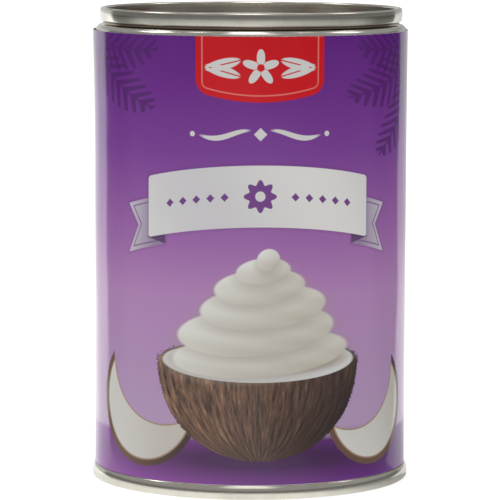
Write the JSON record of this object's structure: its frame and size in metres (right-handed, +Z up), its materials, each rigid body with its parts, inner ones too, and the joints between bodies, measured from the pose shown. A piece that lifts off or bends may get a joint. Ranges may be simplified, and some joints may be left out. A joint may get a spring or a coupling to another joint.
{
  "type": "coconut cream can",
  "caption": "Shut round food can with a necked-in top, double-seamed beaded ends and a glossy printed paper label, filled with coconut cream.",
  "frame": {"origin": "on the can's axis at the floor, the centre of the ring that the bottom seam stands on", "axes": "+Z up the can's axis, -Y to the front of the label, +Y to the label's glued lap, +X to the right seen from the front"},
  "size_m": [0.0746, 0.0746, 0.1104],
  "materials": {
    "tinplate_wall": "bright tinplate, lightly satin",
    "tinplate_end": "satin tinplate with a thin clear lacquer",
    "label_paper": "gloss-varnished printed paper in purple, red and off-white"
  },
  "bodies": {
    "root": {"can_body": "tinplate_wall", "top_end": "tinplate_end", "bottom_end": "tinplate_end", "label": "label_paper"}
  },
  "joints": []
}
